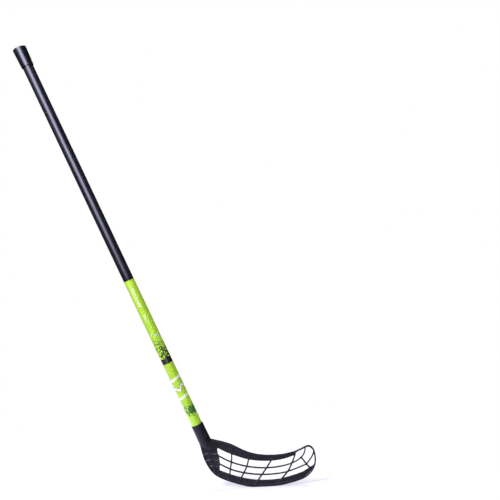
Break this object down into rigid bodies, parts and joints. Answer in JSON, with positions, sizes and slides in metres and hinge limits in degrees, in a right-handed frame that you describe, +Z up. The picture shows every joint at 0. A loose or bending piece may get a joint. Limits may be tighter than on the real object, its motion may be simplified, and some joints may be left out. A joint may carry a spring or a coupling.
{
  "type": "floorball stick",
  "caption": "Floorball stick: a hollow shaft with a black sleeve, a lime printed film and an end cap, screwed into a black hooked blade with an open lattice.",
  "frame": {"origin": "on the flat of the blade's sole, midway through the blade's thickness", "axes": "+Z up, +X towards the blade's toe with the shaft leaning back towards -X, +Y towards the hooked side"},
  "size_m": [0.6654, 0.0471, 0.9781],
  "materials": {
    "blade_plastic": "moulded black polyethylene with a fine texture",
    "shaft_composite": "dark glass fibre composite",
    "print_film": "lime printed film under a clear gloss coat",
    "grip_sleeve": "smooth satin black sleeve",
    "cap_rubber": "moulded black rubber",
    "plug_plastic": "plain moulded polyamide",
    "screw_steel": "zinc plated steel"
  },
  "bodies": {
    "stick": {"blade": "blade_plastic", "shaft_tube": "shaft_composite", "print_sleeve": "print_film", "grip_sleeve": "grip_sleeve", "shaft_plug": "plug_plastic"},
    "cap": {"end_cap": "cap_rubber"},
    "upper_screw": {"upper_blade_screw": "screw_steel"},
    "lower_screw": {"lower_blade_screw": "screw_steel"}
  },
  "joints": [
    {"name": "cap_pull", "type": "slide", "parent": "stick", "child": "cap", "axis": [-0.4195, 0, 0.9078], "range_m": [0, 0.045]},
    {"name": "upper_screw_out", "type": "slide", "parent": "stick", "child": "upper_screw", "axis": [0, 1, 0], "range_m": [0, 0.018]},
    {"name": "lower_screw_out", "type": "slide", "parent": "stick", "child": "lower_screw", "axis": [0, 1, 0], "range_m": [0, 0.018]}
  ]
}
